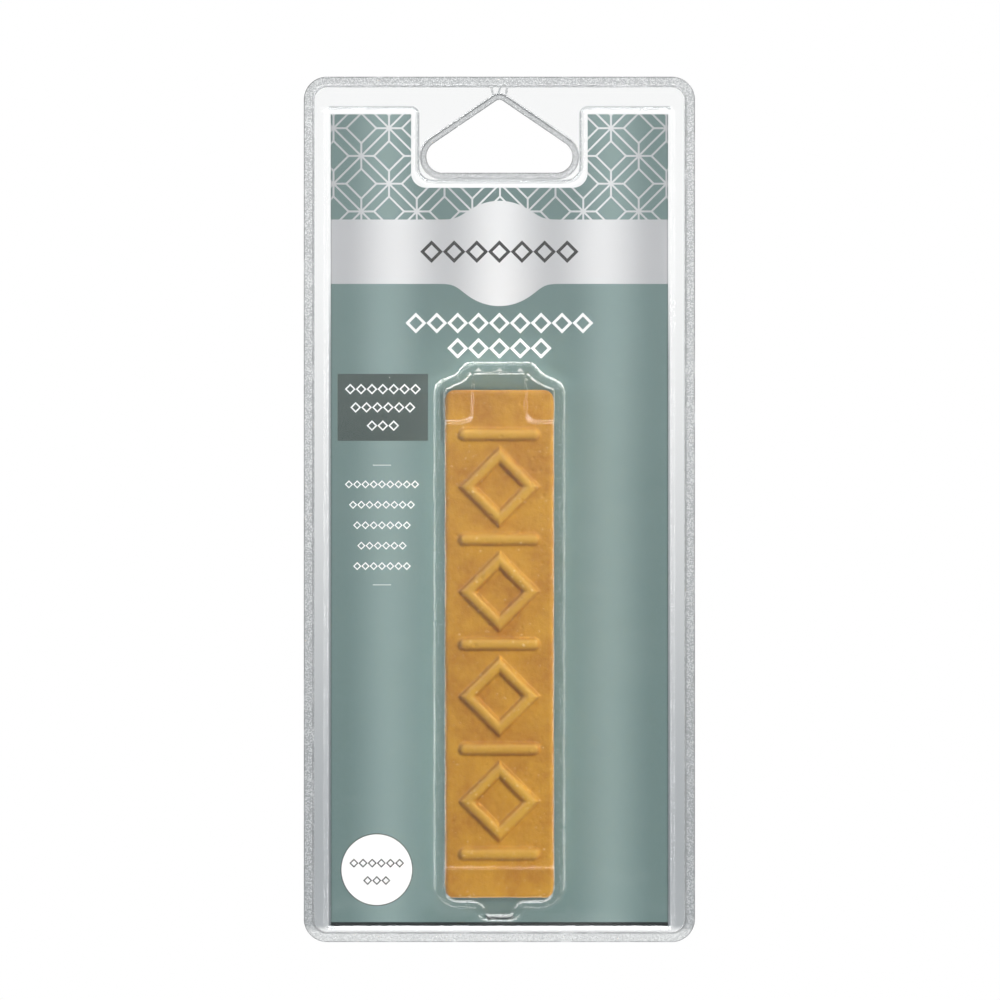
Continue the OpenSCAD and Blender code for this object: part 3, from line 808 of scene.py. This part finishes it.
def label_look():
    """Matt white paper with two printed rows and a thin ring near its edge."""
    look = Look("label_paper")
    place, (x, _, z) = look.millimetres()
    dx, dz = look.math("SUBTRACT", x, LABEL_X), look.math("SUBTRACT", z, LABEL_Z)
    out = look.math("SQRT", look.math("ADD", look.math("MULTIPLY", dx, dx), look.math("MULTIPLY", dz, dz)))
    ring = look.math("GREATER_THAN", out, LABEL_RADIUS - 0.22)
    fibre = look.noise(place, 0.3, 4.0)
    paper = look.blend(fibre, srgb(250, 250, 249), srgb(255, 255, 255))
    colour = look.blend(lozenge_rows(look, x, z, LABEL_ROWS), paper, srgb(40, 40, 40))
    colour = look.blend(ring, colour, srgb(60, 66, 65))
    body = look.node("BsdfPrincipled", {"Base Color": colour, "Roughness": 0.6})
    look.put(body.inputs["Normal"], look.bump(fibre, 0.15, 0.00004))
    return look.finish(body.outputs[0])


def dress(node, material):
    """Gives a CAD node a material."""
    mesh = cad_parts[node].data
    mesh.materials.clear()
    mesh.materials.append(material)


film, weld = film_look(), weld_look()
front_sheet = clear_front()
front_sheet.data.materials.append(film)
front_sheet.data.materials.append(weld)
bar = cast_bar()
bar.data.materials.append(wax_look())
dress("back_sheet", film)
dress("printed_card", card_look())
dress("shade_label", label_look())

# Camera square to the pack, far enough off that its depth hardly shows
CAMERA_DISTANCE = 1.8
VIEW_WIDTH = 0.2302
VIEW_CENTRE = Vector((0.00014, 0, -0.0921))


def aimed(obj, place, target):
    obj.location = place
    obj.rotation_euler = (Vector(target) - Vector(place)).to_track_quat("-Z", "Y").to_euler()
    bpy.context.scene.collection.objects.link(obj)
    return obj


camera = bpy.data.objects.new("camera", bpy.data.cameras.new("camera"))
aimed(camera, VIEW_CENTRE - Vector((0, CAMERA_DISTANCE, 0)), VIEW_CENTRE)
camera.data.sensor_width = 36
camera.data.lens = camera.data.sensor_width * CAMERA_DISTANCE / VIEW_WIDTH
camera.data.clip_end = 20
bpy.context.scene.camera = camera


def softbox(name, place, width, height, power, matt=True, gloss=True, lit=()):
    """A rectangular lamp aimed at the pack: for matt faces, for glossy ones, or for some pieces only."""
    lamp = bpy.data.lights.new(name, "AREA")
    lamp.shape, lamp.size, lamp.size_y, lamp.energy = "RECTANGLE", width, height, power
    holder = aimed(bpy.data.objects.new(name, lamp), place, VIEW_CENTRE)
    holder.visible_camera = False
    holder.visible_diffuse = matt
    holder.visible_glossy = gloss
    if lit:
        holder.light_linking.receiver_collection = bpy.data.collections.new(name + "_pieces")
        for piece in lit:
            holder.light_linking.receiver_collection.objects.link(piece)


flat_pieces = [front_sheet] + [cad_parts[n] for n in ("back_sheet", "printed_card", "shade_label")]
softbox("key", (0, -1.5, -0.12), 0.35, 0.35, 15.8, gloss=False, lit=flat_pieces)
softbox("bar_key", (0.75, -1.2, 0.45), 0.5, 0.5, 21.8, lit=[bar])
softbox("rear_key", (0, 1.5, 0), 0.35, 0.35, 18.1, gloss=False)
softbox("left_strip", (-0.75, -0.2, -0.09), 0.2, 0.8, 8, matt=False)
softbox("right_strip", (0.75, -0.2, -0.09), 0.2, 0.8, 6.6, matt=False)
softbox("upper_left_strip", (-0.5, -0.35, 0.5), 0.4, 0.7, 27, matt=False)
softbox("upper_right_strip", (0.5, -0.35, 0.5), 0.35, 0.7, 21, matt=False)
softbox("upper_strip", (0, -0.35, 0.5), 0.3, 0.3, 5, matt=False)
softbox("low_strip", (0, 0.15, -0.75), 1.8, 0.7, 42, matt=False)


# Share of white that the floor shows, and the light of the room on matt faces
FLOOR_WHITE = 0.95
ROOM = (0.27, 0.27, 0.27, 1)
WHITE = (1, 1, 1, 1)


def studio_floor():
    """A plain pale floor below the hanging pack, nearly white to the camera and in reflections."""
    half, level = 4.0, -0.8
    corners = [(-half, -half, level), (half, -half, level), (half, half, level), (-half, half, level)]
    mesh = bpy.data.meshes.new("floor")
    mesh.from_pydata(corners, [], [(0, 1, 2, 3)])
    floor = bpy.data.objects.new("floor", mesh)
    bpy.context.scene.collection.objects.link(floor)
    look = Look("pale_floor")
    body = look.node("BsdfPrincipled", {"Base Color": (0.88, 0.88, 0.88, 1), "Roughness": 0.9})
    rays = look.node("LightPath").outputs
    shown = look.math("MAXIMUM", rays["Is Camera Ray"], rays["Is Transmission Ray"])
    shown = look.math("MULTIPLY", look.math("MAXIMUM", shown, rays["Is Glossy Ray"]), FLOOR_WHITE)
    mix = look.node("MixShader", {0: shown})
    look.put(mix.inputs[1], body.outputs[0])
    look.put(mix.inputs[2], look.node("Emission", {"Color": WHITE, "Strength": 1.0}).outputs[0])
    mesh.materials.append(look.finish(mix.outputs[0]))


def studio_world():
    """White behind the pack and in reflections, a grey sweep behind its film, and soft light all round."""
    world = bpy.data.worlds.new("studio")
    bpy.context.scene.world = world
    world.use_nodes = True
    look = Look.__new__(Look)
    look.tree = world.node_tree
    look.tree.nodes.clear()
    rays = look.node("LightPath").outputs
    _, _, up = look.node("SeparateXYZ", {0: look.node("TexCoord").outputs["Generated"]}).outputs
    sweep = look.blend(look.ramp(up, -0.05, 0.04), srgb(172, 176, 179), (0.95, 0.95, 0.95, 1))
    sweep = look.blend(look.ramp(up, -0.0542, -0.0552), sweep, WHITE)
    behind_film = look.math("GREATER_THAN", rays["Transparent Depth"], 0.5)
    seen = look.blend(behind_film, WHITE, sweep)
    shown = look.math("MAXIMUM", rays["Is Camera Ray"], rays["Is Transmission Ray"])
    shown = look.math("MAXIMUM", shown, rays["Is Glossy Ray"])
    colour = look.blend(shown, ROOM, seen)
    background = look.node("Background", {"Color": colour, "Strength": 1.0})
    look.put(look.node("OutputWorld").inputs["Surface"], background.outputs[0])


studio_floor()
studio_world()
bpy.context.scene.view_settings.view_transform = "Standard"
bpy.context.scene.cycles.transparent_max_bounces = 32
